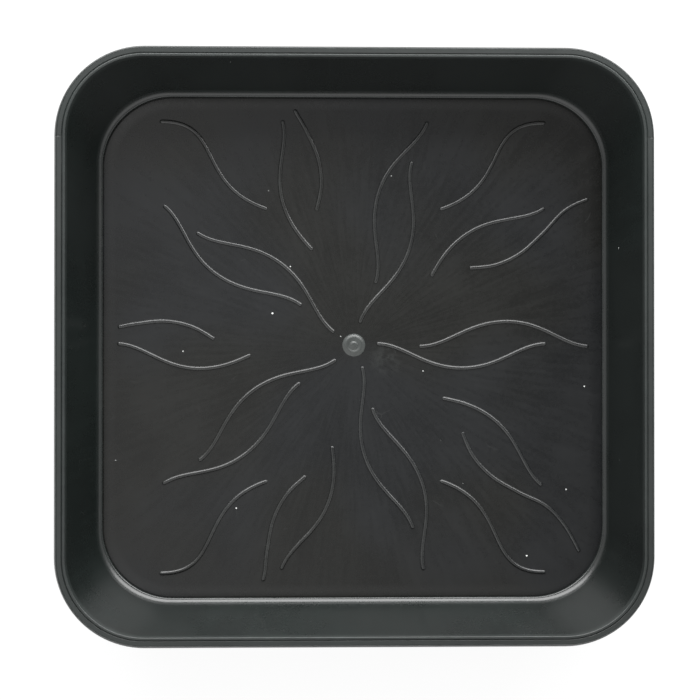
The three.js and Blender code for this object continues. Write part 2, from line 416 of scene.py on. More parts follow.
class Effect:
    """A surface effect as a node group, built once and placed in each material that shows it."""

    NAME: ClassVar[str]
    INPUTS: ClassVar[tuple[Port, ...]]
    OUTPUTS: ClassVar[tuple[Port, ...]] = (Port("Mask"),)

    @classmethod
    def tree(cls) -> bpy.types.NodeTree:
        """Find the group, or make it on first use.

        Returns:
            The group's tree.
        """
        found = bpy.data.node_groups.get(cls.NAME)
        if found:
            return found
        tree = bpy.data.node_groups.new(cls.NAME, "ShaderNodeTree")
        for way, ports in (("INPUT", cls.INPUTS), ("OUTPUT", cls.OUTPUTS)):
            for port in ports:
                socket = tree.interface.new_socket(port.name, in_out=way, socket_type=port.kind)
                if port.value is not None:
                    socket.default_value = port.value
        bench = NodeBench(tree)
        entry = tree.nodes.new("NodeGroupInput").outputs
        results = tree.nodes.new("NodeGroupOutput").inputs
        for name, socket in cls.wire(bench, entry).items():
            bench.feed(results[name], socket)
        return tree

    @classmethod
    def wire(cls, bench: NodeBench, entry: Outputs) -> dict[str, Socket]:
        """Wire the group's inside.

        Args:
            bench: Bench on the group's tree.
            entry: Sockets of the group's inputs.

        Returns:
            One socket for each output, by name.
        """
        raise NotImplementedError

    @classmethod
    def place(cls, bench: NodeBench, **values: Any) -> Outputs:
        """Place the group in a material, with its inputs by name, and return its outputs."""
        return bench.add("Group", values, node_tree=cls.tree()).outputs


class MouldGrain(Effect):
    """Fine spark-eroded grain that the mould leaves on the plastic."""

    NAME = "mould_grain"
    INPUTS = (VECTOR, Port("Pitch", value=0.4 * MM))
    OUTPUTS = (Port("Height"),)
    COARSER = 7.0
    COARSE_SHARE = 0.6

    @classmethod
    def wire(cls, bench: NodeBench, entry: Outputs) -> dict[str, Socket]:
        """Noise at the grain's pitch, with coarser noise under it."""
        per_metre = bench.math("DIVIDE", 1.0, entry["Pitch"])
        fine = bench.noise(entry["Vector"], per_metre, detail=3.0, roughness=0.6)
        coarse_scale = bench.math("DIVIDE", per_metre, cls.COARSER)
        coarse = bench.noise(entry["Vector"], coarse_scale, detail=1.0)
        return {"Height": bench.math("MULTIPLY_ADD", coarse, cls.COARSE_SHARE, fine)}


class FlowMarks(Effect):
    """Cloudy patches and faint streaks that spread from the gate where the plastic flowed."""

    NAME = "flow_marks"
    INPUTS = (VECTOR, Port("Patch", value=45 * MM))
    OUTPUTS = (Port("Cloud"), Port("Streak"), Port("Drift"), Port("Mottle"))
    STREAKS_ROUND = 40.0
    STREAKS_PER_METRE = 50.0
    DRIFT_SPREAD = 2.0
    MOTTLES_PER_PATCH = 20.0

    @classmethod
    def wire(cls, bench: NodeBench, entry: Outputs) -> dict[str, Socket]:
        """Clouds, finer mottling and a slow drift, and streaks by direction from the gate."""
        vector = entry["Vector"]
        per_metre = bench.math("DIVIDE", 1.0, entry["Patch"])
        plan = bench.vector("MULTIPLY", vector, FLAT)
        heading = bench.scaled(bench.vector("NORMALIZE", plan), cls.STREAKS_ROUND)
        length = bench.vector("LENGTH", plan, output="Value")
        reach = bench.add("CombineXYZ", {"Z": bench.math("MULTIPLY", length, cls.STREAKS_PER_METRE)})
        course = bench.vector("ADD", heading, reach.outputs["Vector"])
        wide = bench.math("DIVIDE", per_metre, cls.DRIFT_SPREAD)
        fine = bench.math("MULTIPLY", per_metre, cls.MOTTLES_PER_PATCH)
        return {
            "Cloud": bench.noise(vector, per_metre, detail=4.0, roughness=0.55),
            "Streak": bench.noise(course, 1.0, detail=3.0),
            "Drift": bench.noise(vector, wide, detail=1.0),
            "Mottle": bench.noise(vector, fine, detail=3.0),
        }


class GateBlush(Effect):
    """Pale, broken patch beside the gate, where the first plastic cooled early."""

    NAME = "gate_blush"
    INPUTS = (
        VECTOR,
        Port("Right", value=17 * MM),
        Port("Back", value=-6 * MM),
        Port("Reach", value=11 * MM),
    )
    FULL_TO = 0.2
    BREAKS_PER_REACH = 2.5
    BREAK_RANGE = (0.42, 0.62)

    @classmethod
    def wire(cls, bench: NodeBench, entry: Outputs) -> dict[str, Socket]:
        """A soft disc about the patch's middle, broken up by noise."""
        middle = bench.add("CombineXYZ", {"X": entry["Right"], "Y": entry["Back"]}).outputs["Vector"]
        plan = bench.vector("MULTIPLY", entry["Vector"], FLAT)
        away = bench.math("DIVIDE", bench.vector("DISTANCE", plan, middle, output="Value"), entry["Reach"])
        disc = bench.ramp(away, cls.FULL_TO, 1.0, 1.0, 0.0)
        per_metre = bench.math("DIVIDE", cls.BREAKS_PER_REACH, entry["Reach"])
        breaks = bench.ramp(bench.noise(entry["Vector"], per_metre, detail=3.0), *cls.BREAK_RANGE)
        return {"Mask": bench.math("MULTIPLY", disc, breaks)}


class DustSpecks(Effect):
    """Sparse pale specks of dust, each in a cell of its own."""

    NAME = "dust_specks"
    INPUTS = (
        VECTOR,
        Port("Spacing", value=9 * MM),
        Port("Size", value=0.6 * MM),
        Port("Share", value=0.1),
    )
    FULL_TO = 0.6

    @classmethod
    def wire(cls, bench: NodeBench, entry: Outputs) -> dict[str, Socket]:
        """A small disc round the point of a cell, in the share of cells that hold a speck."""
        per_metre = bench.math("DIVIDE", 1.0, entry["Spacing"])
        cells = bench.add("TexVoronoi", {"Vector": entry["Vector"], "Scale": per_metre}).outputs
        parts = bench.add("SeparateColor", {"Color": cells["Color"]}).outputs
        is_dusty = bench.math("LESS_THAN", parts["Red"], entry["Share"])
        reach = bench.math("MULTIPLY", bench.math("MULTIPLY", entry["Size"], parts["Green"]), per_metre)
        away = bench.math("DIVIDE", cells["Distance"], reach)
        disc = bench.ramp(away, cls.FULL_TO, 1.0, 1.0, 0.0)
        return {"Mask": bench.math("MULTIPLY", disc, is_dusty)}


class Scuffs(Effect):
    """Hairline scuffs from pots and stacking."""

    NAME = "scuffs"
    INPUTS = (VECTOR, Port("Spacing", value=22 * MM), Port("Width", value=0.012))
    BEND_SCALE = 0.7
    PATCH_SCALE = 1.7
    PATCH_RANGE = (0.64, 0.72)

    @classmethod
    def wire(cls, bench: NodeBench, entry: Outputs) -> dict[str, Socket]:
        """Bent cell borders, kept only in patches so that they read as single strokes."""
        scaled = bench.scaled(entry["Vector"], bench.math("DIVIDE", 1.0, entry["Spacing"]))
        bend = bench.add("TexNoise", {"Vector": scaled, "Scale": cls.BEND_SCALE, "Detail": 2.0})
        bent = bench.vector("ADD", scaled, bend.outputs["Color"])
        borders = bench.add("TexVoronoi", {"Vector": bent, "Scale": 1.0}, feature="DISTANCE_TO_EDGE")
        hairline = bench.math("LESS_THAN", borders.outputs["Distance"], entry["Width"])
        patch = bench.ramp(bench.noise(scaled, cls.PATCH_SCALE, detail=2.0), *cls.PATCH_RANGE)
        return {"Mask": bench.math("MULTIPLY", hairline, patch)}


class EdgeWear(Effect):
    """Rubbed, paler plastic along exposed edges, broken up by noise."""

    NAME = "edge_wear"
    INPUTS = (Port("Edge"), VECTOR, Port("Patch", value=6 * MM))
    NOISE_RANGE = (0.35, 0.7)
    LEAST_RUB = 0.25

    @classmethod
    def wire(cls, bench: NodeBench, entry: Outputs) -> dict[str, Socket]:
        """The edge value, cut back where the noise is low."""
        per_metre = bench.math("DIVIDE", 1.0, entry["Patch"])
        noise = bench.noise(entry["Vector"], per_metre, detail=5.0, roughness=0.65)
        patchy = bench.ramp(noise, *cls.NOISE_RANGE, cls.LEAST_RUB, 1.0)
        return {"Mask": bench.math("MULTIPLY", entry["Edge"], patchy, clamp=True)}


@dataclass(frozen=True)
class SurfaceMarks:
    """Sockets of the marks that colour and roughen the plastic."""

    flow: Outputs
    wear: Socket
    scuff: Socket
    dust: Socket


@dataclass(frozen=True)
class PlasticFinish:
    """As-moulded plastic.

    Attributes:
        name: Name of the material.
        colour: Colour of clean plastic, in linear light.
        drift_colour: Colour that it drifts to over wide patches.
        worn_colour: Colour where an edge is rubbed.
        dust_colour: Colour of a speck of dust.
        slot: The record's slot of this plastic.
        roughness: Roughness of clean plastic.
        cloud_contrast: How far the flow marks change the colour.
        cloud_roughness: How far they change the roughness.
        mottle_roughness: How far the fine mottling changes the roughness.
        streak_roughness: How far the flow streaks change it.
        blush: How much of the gate's blush shows.
        grain_pitch: Pitch of the mould's grain.
        grain_depth: Depth of that grain.
        dust_share: Share of dust cells that hold a speck.
        wear: How far edge wear goes towards the worn colour.
    """

    STREAK_TONE: ClassVar[float] = 0.5
    TONE_RANGE: ClassVar[Pair] = (0.45, 1.05)
    DRIFT_RANGE: ClassVar[Pair] = (0.4, 0.6)
    CLOUD_RANGE: ClassVar[Pair] = (0.3, 0.7)
    SCUFF_TONE: ClassVar[float] = 0.1
    SCUFF_RISE: ClassVar[float] = -0.3
    WEAR_ROUGHNESS: ClassVar[float] = -0.06
    SCUFF_ROUGHNESS: ClassVar[float] = 0.06
    DUST_ROUGHNESS: ClassVar[float] = 0.4

    name: str
    colour: Colour
    drift_colour: Colour
    worn_colour: Colour
    dust_colour: Colour = (0.55, 0.56, 0.55, 1.0)
    slot: Slot = Slot.MOULDED
    roughness: float = 0.28
    cloud_contrast: float = 0.4
    cloud_roughness: float = 0.04
    mottle_roughness: float = 0.04
    streak_roughness: float = 0.0
    blush: float = 0.0
    grain_pitch: float = 0.4 * MM
    grain_depth: float = 0.0015 * MM
    dust_share: float = 0.07
    wear: float = 0.5

    def material(self) -> bpy.types.Material:
        """Find the finish's node material, or make it on first use.

        Returns:
            The material.
        """
        found = bpy.data.materials.get(self.name)
        if found:
            return found
        material = bpy.data.materials.new(self.name)
        bench = NodeBench.cleared(material)
        place = bench.add("TexCoord").outputs["Object"]
        edge = bench.add("Attribute", attribute_name=EDGE_ATTRIBUTE).outputs["Fac"]
        grain = MouldGrain.place(bench, Vector=place, Pitch=self.grain_pitch)["Height"]
        rubbed = EdgeWear.place(bench, Edge=edge, Vector=place)["Mask"]
        blush = GateBlush.place(bench, Vector=place)["Mask"]
        marks = SurfaceMarks(
            flow=FlowMarks.place(bench, Vector=place),
            wear=bench.math("MULTIPLY_ADD", blush, self.blush, rubbed),
            scuff=Scuffs.place(bench, Vector=place)["Mask"],
            dust=DustSpecks.place(bench, Vector=place, Share=self.dust_share)["Mask"],
        )
        height = bench.math("MULTIPLY_ADD", marks.scuff, self.SCUFF_RISE, grain)
        bump = bench.add("Bump", {"Strength": 1.0, "Distance": self.grain_depth, "Height": height})
        shader = bench.add("BsdfPrincipled", {"IOR": 1.5, "Metallic": 0.0, "Normal": bump.outputs["Normal"]})
        bench.feed(shader.inputs["Base Color"], self.colouring(bench, marks))
        bench.feed(shader.inputs["Roughness"], self.roughening(bench, marks))
        bench.add("OutputMaterial", {"Surface": shader.outputs["BSDF"]})
        return material

    def colouring(self, bench: NodeBench, marks: SurfaceMarks) -> Socket:
        """Colour the surface.

        Args:
            bench: Bench on the material's tree.
            marks: Marks on the plastic.

        Returns:
            The colour.
        """
        half = self.cloud_contrast / 2
        streaked = bench.math("MULTIPLY_ADD", marks.flow["Streak"], self.STREAK_TONE, marks.flow["Cloud"])
        tone = bench.ramp(streaked, *self.TONE_RANGE, 1.0 - half, 1.0 + half)
        drift = bench.ramp(marks.flow["Drift"], *self.DRIFT_RANGE)
        toned = bench.scaled(bench.blend(drift, self.colour, self.drift_colour), tone)
        worn = bench.blend(bench.math("MULTIPLY", marks.wear, self.wear), toned, self.worn_colour)
        scuffed = bench.blend(bench.math("MULTIPLY", marks.scuff, self.SCUFF_TONE), worn, self.worn_colour)
        return bench.blend(marks.dust, scuffed, self.dust_colour)

    def roughening(self, bench: NodeBench, marks: SurfaceMarks) -> Socket:
        """Roughen the surface.

        Args:
            bench: Bench on the material's tree.
            marks: Marks on the plastic.

        Returns:
            The roughness.
        """
        middle = self.roughness - (self.mottle_roughness + self.streak_roughness) / 2
        half = self.cloud_roughness / 2
        clouded = bench.ramp(marks.flow["Cloud"], *self.CLOUD_RANGE, middle - half, middle + half)
        mottled = bench.math("MULTIPLY_ADD", marks.flow["Mottle"], self.mottle_roughness, clouded)
        clean = bench.math("MULTIPLY_ADD", marks.flow["Streak"], self.streak_roughness, mottled)
        rubbed = bench.math("MULTIPLY_ADD", marks.wear, self.WEAR_ROUGHNESS, clean)
        scuffed = bench.math("MULTIPLY_ADD", marks.scuff, self.SCUFF_ROUGHNESS, rubbed)
        return bench.math("MULTIPLY_ADD", marks.dust, self.DUST_ROUGHNESS, scuffed, clamp=True)


MOULDED_PLASTIC = PlasticFinish(
    name="saucer_plastic",
    colour=(0.0045, 0.0067, 0.0061, 1.0),
    drift_colour=(0.0048, 0.0064, 0.0059, 1.0),
    worn_colour=(0.03, 0.033, 0.032, 1.0),
)
FLOOR_PLASTIC = PlasticFinish(
    name="pot_worn_floor_plastic",
    colour=(0.0059, 0.0061, 0.0054, 1.0),
    drift_colour=(0.0054, 0.006, 0.0065, 1.0),
    worn_colour=(0.031, 0.033, 0.032, 1.0),
    mottle_roughness=0.1,
    streak_roughness=0.09,
    dust_share=0.4,
    blush=0.8,
)
RIB_PLASTIC = replace(
    FLOOR_PLASTIC,
    name="smooth_rib_plastic",
    mottle_roughness=0.01,
    streak_roughness=0.0,
    dust_share=0.0,
    blush=0.0,
)
RIM_PLASTIC = PlasticFinish(
    name="rubbed_rim_plastic",
    colour=(0.0078, 0.0108, 0.01, 1.0),
    drift_colour=(0.0082, 0.0105, 0.0098, 1.0),
    worn_colour=(0.022, 0.027, 0.0255, 1.0),
    roughness=0.44,
)
GATE_PLASTIC = PlasticFinish(
    name="gate_cut_plastic",
    colour=(0.03, 0.034, 0.0325, 1.0),
    drift_colour=(0.032, 0.034, 0.032, 1.0),
    worn_colour=(0.046, 0.051, 0.049, 1.0),
    slot=Slot.GATE,
    roughness=0.36,
    cloud_contrast=0.3,
    grain_pitch=0.25 * MM,
    dust_share=0.0,
)


@dataclass
class Feature:
    """A feature of the moulding, which takes its places from the saucer's sizes."""

    shape: SaucerShape

    def build(self) -> list[Piece]:
        """Build the feature and dress it in its plastic.

        Returns:
            The finished pieces.
        """
        raise NotImplementedError


@dataclass
class FloorPanel(Feature):
    """Flat floor that sinks a little at its edge, with a rounded heel and the gate's recess underneath."""

    heel_radius: float = 2 * MM
    heel_wear: float = 0.4
    sink_width: float = 7 * MM
    sink_depth: float = 0.5 * MM
    sink_steps: int = 8
    recess_radius: float = 4.5 * MM
    recess_wear: float = 0.6

    def build(self) -> list[Piece]:
        """Build the panel and dress it in the floor's plastic."""
        shape = self.shape
        lean = math.degrees(shape.wall_lean)
        heel_centre = shape.wall_outside(self.heel_radius) - self.heel_radius / math.cos(shape.wall_lean)
        heel = rounding((heel_centre, self.heel_radius), self.heel_radius, -90, -lean)
        section = [
            *stations(heel, edge=self.heel_wear),
            Station(shape.wall_outside(shape.floor_top), shape.floor_top),
            Station(shape.floor_half, shape.floor_top),
            *stations(self.sink()),
        ]
        outlines = [shape.level(station) for station in section]
        skin = Skin()
        roof = skin.row(self.recess(outlines[0], shape.recess_depth))
        mouth = skin.row(self.recess(outlines[0], 0.0), self.recess_wear)
        shell = [skin.row(outline, station.edge) for outline, station in zip(outlines, section)]
        skin.tube([roof, mouth, *shell])
        return [skin.piece("floor_panel", FLOOR_PLASTIC)]

    def sink(self) -> list[Pair]:
        """Let the floor fall towards the step.

        Returns:
            Points of the fall, from the step inward.
        """
        points = []
        for i in range(self.sink_steps + 1):
            share = i / self.sink_steps
            fall = self.sink_depth * (1 - share) ** 2
            points.append((self.shape.floor_half - share * self.sink_width, self.shape.floor_top - fall))
        return points

    def recess(self, outline: list[Vector], z: float) -> list[Vector]:
        """Draw a circle of the gate's recess.

        Args:
            outline: Points round the saucer.
            z: Height of the circle.

        Returns:
            One point of the circle in the direction of each point of the outline.
        """
        middle = Vector(self.shape.pattern_shift)
        ways = [(point.xy - middle).normalized() for point in outline]
        return [(middle + self.recess_radius * way).to_3d() + Vector((0, 0, z)) for way in ways]


@dataclass
class FootLedge(Feature):
    """Narrow step with a rounded inner edge, round the floor at the wall's foot."""

    crest_wear: float = 0.7

    def build(self) -> list[Piece]:
        """Build the step and dress it in the moulded plastic."""
        shape = self.shape
        radius = shape.ledge_edge_radius
        crest = rounding((shape.floor_half + radius, shape.ledge_top - radius), radius, 90, 180)
        section = [
            Station(shape.wall_outside(shape.floor_top), shape.floor_top),
            Station(shape.wall_outside(shape.ledge_top), shape.ledge_top),
            *stations(crest, edge=self.crest_wear),
            Station(shape.floor_half, shape.floor_top),
        ]
        return [Skin.carried(shape, section).piece("foot_ledge", MOULDED_PLASTIC)]


@dataclass
class SideWall(Feature):
    """Wall that leans outward, with a wide fillet at its foot on the ledge."""

    fillet_radius: float = 5 * MM

    def build(self) -> list[Piece]:
        """Build the wall and dress it in the moulded plastic."""
        shape = self.shape
        section = [
            Station(shape.wall_outside(shape.ledge_top), shape.ledge_top),
            Station(shape.wall_outside(shape.lip_bottom), shape.lip_bottom),
            Station(shape.wall_inside(shape.lip_bottom), shape.lip_bottom),
            *stations(self.fillet()),
        ]
        return [Skin.carried(shape, section).piece("side_wall", MOULDED_PLASTIC)]

    def fillet(self) -> list[Pair]:
        """Round the wall's foot down to the step's edge, which the fillet meets at a slope.

        Returns:
            Points of the fillet, from the wall's face downward.
        """
        shape = self.shape
        steep = math.pi / 2 - shape.wall_lean
        room = shape.wall_setback - shape.ledge_edge_radius
        slope = steep - math.acos(1 - room * math.sin(steep) / self.fillet_radius)
        toe = shape.floor_half + shape.ledge_edge_radius
        centre = (
            toe - self.fillet_radius * math.sin(slope),
            shape.ledge_top + self.fillet_radius * math.cos(slope),
        )
        start = -math.degrees(shape.wall_lean)
        return rounding(centre, self.fillet_radius, start, math.degrees(slope) - 90, steps=16)


@dataclass
class RimLip(Feature):
    """Bead at the mouth, grooved land, outer roll and hanging skirt, with two mould witness lines."""

    bead_radius: float = 0.5 * MM
    bead_width: float = 1.3 * MM
    bead_shoulder: float = 0.3 * MM
    bead_wear: float = 0.8
    land_drop: float = 0.35 * MM
    groove_width: float = 0.8 * MM
    groove_depth: float = 0.35 * MM
    roll_radius: float = 1.1 * MM
    roll_wear: float = 0.6
    roll_groove_angle: float = 75.0
    roll_groove_spread: float = 12.0
    roll_groove_floor: float = 2.0
    roll_groove_depth: float = 0.25 * MM
    skirt_depth: float = 6.8 * MM
    skirt_edge_radius: float = 0.35 * MM
    skirt_wear: float = 0.3
    witness_place: float = 0.8 * MM
    witness_width: float = 0.5 * MM
    witness_depth: float = 0.25 * MM
    witness_inset: float = 0.48 * MM

    @property
    def land_top(self) -> float:
        """Height of the land."""
        return self.shape.overall_height - self.land_drop

    @property
    def bead_inside(self) -> float:
        """Half width at which the bead meets the wall's inner face."""
        return self.shape.wall_inside(self.shape.overall_height - self.bead_radius)

    @property
    def bead_foot(self) -> float:
        """Half width at which the bead ends and the groove begins."""
        return self.bead_inside + self.bead_width

    def build(self) -> list[Piece]:
        """Build the lip and dress it in the rim's plastic."""
        marks = [self.witness_place + step * self.witness_width for step in (-1, 0, 1)]
        skin = Skin.carried(self.shape, self.section(), marks)
        self.witness(skin)
        return [skin.piece("rim_lip", RIM_PLASTIC)]

    def witness(self, skin: Skin) -> None:
        """Cut a hairline across the land and the roll, at the back end of the left and right sides.

        Args:
            skin: Skin of the lip.
        """
        line = self.shape.rim_arc_centre - self.witness_place
        for vert in skin.mesh.verts:
            is_on_line = abs(vert.co.y - line) < self.witness_width / 2
            is_outside_bead = abs(vert.co.x) > self.bead_foot + self.witness_inset
            is_on_top = vert.co.z > self.land_top - self.roll_radius / 2
            if is_on_line and is_outside_bead and is_on_top:
                vert.co.z -= self.witness_depth

    def section(self) -> list[Station]:
        """Go round the lip from the skirt's lower edge over the roll to the mouth and back.

        Returns:
            Stations of the lip.
        """
        shape = self.shape
        return [
            *stations(self.skirt(), shape.rim_arc_centre, self.skirt_wear),
            *stations(self.roll(), shape.rim_arc_centre, self.roll_wear),
            *stations(self.groove(), shape.rim_arc_centre),
            *stations(self.bead(), edge=self.bead_wear),
            Station(shape.wall_inside(shape.lip_bottom), shape.lip_bottom),
            Station(shape.wall_outside(shape.lip_bottom), shape.lip_bottom),
            Station(shape.skirt_top - shape.skirt_thickness, shape.lip_bottom, shape.rim_arc_centre),
        ]

    def skirt(self) -> list[Pair]:
        """Round the lower edge of the skirt on both sides.

        Returns:
            Points from the inside to the outside.
        """
        shape = self.shape
        edge = self.skirt_edge_radius
        level = shape.overall_height - self.skirt_depth + edge
        inside = rounding((shape.rim_half - shape.skirt_thickness + edge, level), edge, 180, 270, steps=4)
        return inside + rounding((shape.rim_half - edge, level), edge, 270, 360, steps=4)

    def roll(self) -> list[Pair]:
        """Turn the outer roll, with a hairline groove near its crest.

        Returns:
            Points from the skirt to the land.
        """
        centre = (self.shape.skirt_top - self.roll_radius, self.land_top - self.roll_radius)
        angle = self.roll_groove_angle
        spread = self.roll_groove_spread
        floor = self.roll_groove_floor
        depth = self.roll_radius - self.roll_groove_depth
        return [
            *rounding(centre, self.roll_radius, 0, angle - spread, steps=10),
            *rounding(centre, depth, angle - floor, angle + floor, steps=1),
            *rounding(centre, self.roll_radius, angle + spread, 90, steps=3),
        ]

    def groove(self) -> list[Pair]:
        """Groove between the land and the bead."""
        bottom = (self.bead_foot + self.groove_width / 2, self.land_top - self.groove_depth)
        return [(self.bead_foot + self.groove_width, self.land_top), bottom]

    def bead(self) -> list[Pair]:
        """Round the bead.

        Returns:
            Points from its outer shoulder over the crest to the mouth.
        """
        top = self.shape.overall_height
        crest = (self.bead_inside + self.bead_radius, top - self.bead_radius)
        shoulder = (self.bead_foot - self.bead_shoulder, top - self.bead_shoulder)
        outer = rounding(shoulder, self.bead_shoulder, 0, 90, steps=4)
        return outer + rounding(crest, self.bead_radius, 90, 180)[1:]


@dataclass
class Gate(Feature):
    """Moulding gate: a round-topped collar, a domed pip inside it, and the sprue's stub underneath."""

    collar_edge: float = 2.1 * MM
    collar_height: float = 0.58 * MM
    valley_height: float = 0.3 * MM
    crown_radius: float = 0.9 * MM
    pip_radius: float = 2.35 * MM
    pip_height: float = 0.7 * MM
    sprue_radius: float = 1.2 * MM
    sprue_taper: float = 0.3 * MM
    sprue_clearance: float = 0.3 * MM
    sprue_edge: float = 0.15 * MM
    wear: float = 0.5
    turn_steps: int = 72
    wave_steps: int = 14

    def build(self) -> list[Piece]:
        """Build the collar with its valley, the pip that rises from it, and the stub in the recess."""
        floor = self.shape.floor_top
        crest = (self.shape.gate_radius - self.collar_edge, self.collar_height)
        valley = (self.pip_radius, self.valley_height)
        foot = (self.pip_radius, 0.0)
        rise = self.wave((self.shape.gate_radius, 0.0), crest)
        fall = self.wave(crest, valley)
        dome = self.wave(valley, (self.crown_radius, self.pip_height))
        end = self.sprue_radius - self.sprue_taper
        stub = [
            (end - self.sprue_edge, self.sprue_clearance),
            (end, self.sprue_clearance + self.sprue_edge),
            (self.sprue_radius, self.shape.recess_depth),
        ]
        return [
            self.turned("gate_collar", [*rise, *fall[1:], foot], floor, is_ring=True),
            self.turned("gate_pip", [foot, *dome], floor),
            self.turned("sprue_stub", stub, 0.0),
        ]

    def wave(self, start: Pair, end: Pair) -> list[Pair]:
        """Fall or rise smoothly between two points of a profile, level at both.

        Args:
            start: First radius and rise.
            end: Last radius and rise.

        Returns:
            Points of the wave.
        """
        points = []
        for i in range(self.wave_steps + 1):
            ease = (1 - math.cos(math.pi * i / self.wave_steps)) / 2
            radius = start[0] + (end[0] - start[0]) * i / self.wave_steps
            points.append((radius, start[1] + (end[1] - start[1]) * ease))
        return points

    def turned(self, name: str, profile: list[Pair], base: float, is_ring: bool = False) -> Piece:
        """Turn a profile about the gate's axis and dress it in the gate's plastic.

        Args:
            name: Name of the CAD node that the piece replaces.
            profile: Pairs of radius and rise.
            base: Height from which the rises count.
            is_ring: Whether the profile goes round a ring, and isn't closed at its ends.

        Returns:
            The finished piece.
        """
        x, y = self.shape.pattern_shift
        angles = [2 * math.pi * i / self.turn_steps for i in range(self.turn_steps)]
        ways = [(math.cos(angle), math.sin(angle)) for angle in angles]
        skin = Skin()
        rows = []
        for radius, rise in profile:
            circle = [Vector((x + radius * right, y + radius * back, base + rise)) for right, back in ways]
            rows.append(skin.row(circle, self.wear))
        join = skin.ring if is_ring else skin.tube
        join(rows)
        return skin.piece(name, GATE_PLASTIC)


@dataclass
class RibField(Feature):
    """Waved ribs on the floor: five pairs of long ones, five pairs of short ones, and four corner ribs."""

    width: float = 2.2 * MM
    height: float = 0.7 * MM
    end_length: float = 1 * MM
    end_tip: float = 0.08
    aim_share: float = 0.125
    margin: float = 7.1 * MM
    sector_leans: tuple[float, ...] = (0.0, 0.0, 0.0, 0.35, -0.4)
    gate_clearance: float = 5.9 * MM
    stagger: float = 22 * MM
    swing_clockwise: float = 12.6 * MM
    swing_anticlockwise: float = 12.8 * MM
    shoulder: float = 0.083
    toe: float = 0.052
    lag: float = 0.038
    short_start: float = 53.2 * MM
    short_outer_course: tuple[Pair, ...] = (
        (-50, 3), (-38, 9.6), (-24, 12.3), (-8, 10.7), (8, 7.9), (22, 10.5), (36, 16.8),
    )
    corner_inset: Pair = (22 * MM, 5.5 * MM)
    corner_outer_handle: Pair = (-34 * MM, 1 * MM)
    corner_inner_end: Pair = (44.5 * MM, 70.3 * MM)
    corner_inner_handle: Pair = (38.4 * MM, 12.2 * MM)
    arch_steps: int = 16
    steps: int = 64
    end_steps: int = 6
    probes: int = 400

    @property
    def edge(self) -> float:
        """Half width of the square field that the ribs stay in."""
        return self.shape.floor_half - self.margin

    @property
    def inner_start(self) -> float:
        """Distance from the middle at which the long inner ribs begin."""
        return self.shape.gate_radius + self.gate_clearance

    @property
    def outer_start(self) -> float:
        """Distance from the middle at which the long outer ribs begin."""
        return self.inner_start + self.stagger

    def build(self) -> list[Piece]:
        """Build the ribs sector by sector and then corner by corner."""
        swing = self.swing_anticlockwise
        long_inner = self.bow(self.inner_start, Hand.CLOCKWISE, self.swing_clockwise)
        long_outer = self.bow(self.outer_start, Hand.ANTICLOCKWISE, swing)
        short_inner = self.bow(self.outer_start, Hand.ANTICLOCKWISE, swing, self.short_start)
        pieces = []
        pitch = 2 * math.pi / len(self.sector_leans)
        for sector, lean in enumerate(self.sector_leans):
            angle = sector * pitch + math.radians(lean)
            between = angle + pitch / 2
            courses = {
                "long_inner": self.turned(long_inner, angle),
                "long_outer": self.turned(long_outer, angle),
                "short_inner": self.turned(short_inner, between),
                "short_outer": self.in_field(self.turned(self.spline(), between)),
            }
            pieces += [self.rib(f"rib_{kind}_{sector + 1}", course) for kind, course in courses.items()]
        for label, signs in enumerate(((1, 1), (-1, 1), (-1, -1), (1, -1)), start=1):
            pieces.append(self.rib(f"rib_corner_{label}", self.corner(*signs)))
        return pieces

    def bow(self, start: float, hand: Hand, swing: float, cut: float | None = None) -> Course:
        """Draw a course that crosses the line of its sector, bows to one side and comes back over it.

        Args:
            start: Distance from the middle at which the bow begins.
            hand: Side to which it bows.
            swing: Depth of the bow.
            cut: Distance at which the rib begins, where that is further along.

        Returns:
            The course over shares from 0 to 1.
        """
        reach = self.edge - self.outer_start
        first = ((start if cut is None else cut) - start) / reach
        lag = self.lag if hand is Hand.ANTICLOCKWISE else 0.0

        def course(share: float) -> Vector:
            """Point of the bow at a share of its length."""
            along = first + (1 - first) * share
            wave = (1 - math.cos(2 * math.pi * along)) / 2
            shoulders = (1 - math.cos(4 * math.pi * along)) / 2
            delay = lag * math.sin(2 * math.pi * along)
            aside = hand.value * swing * (wave + self.shoulder * shoulders - delay - self.toe)
            return Vector((start + reach * along, -aside))

        return course

    def spline(self) -> Course:
        """Draw a short outer rib smoothly through its points.

        Returns:
            The course over shares from 0 to 1.
        """
        points = self.short_outer_course
        knots = [Vector((self.edge + out * MM, -clockwise * MM)) for out, clockwise in points]
        spans = len(knots) - 1

        def course(share: float) -> Vector:
            """Point of the Catmull-Rom curve through the knots, at a share of its spans."""
            place = share * spans
            span = min(int(place), spans - 1)
            t = place - span
            before = knots[max(span - 1, 0)]
            start, end = knots[span], knots[span + 1]
            after = knots[min(span + 2, spans)]
            leave = (end - before) / 2
            arrive = (after - start) / 2
            cubic = 2 * start - 2 * end + leave + arrive
            square = -3 * start + 3 * end - 2 * leave - arrive
            return cubic * t**3 + square * t**2 + leave * t + start

        return course

    def corner(self, sign_x: int, sign_y: int) -> Course:
        """Draw a corner rib, from the floor's corner to the gate's side.

        Args:
            sign_x: Side of the corner, 1 for the right.
            sign_y: Side of the corner, 1 for the back.

        Returns:
            The course over shares from 0 to 1.
        """
        signs = Vector((sign_x, sign_y))
        start = signs * Vector([self.edge - inset for inset in self.corner_inset])
        start -= Vector(self.shape.pattern_shift)
        leave = start + signs * Vector(self.corner_outer_handle)
        end = signs * Vector(self.corner_inner_end)
        arrive = end + signs * Vector(self.corner_inner_handle)

        def course(share: float) -> Vector:
            """Point of the cubic curve between the two ends."""
            rest = 1 - share
            first = rest**3 * start + 3 * rest**2 * share * leave
            return first + 3 * rest * share**2 * arrive + share**3 * end

        return course

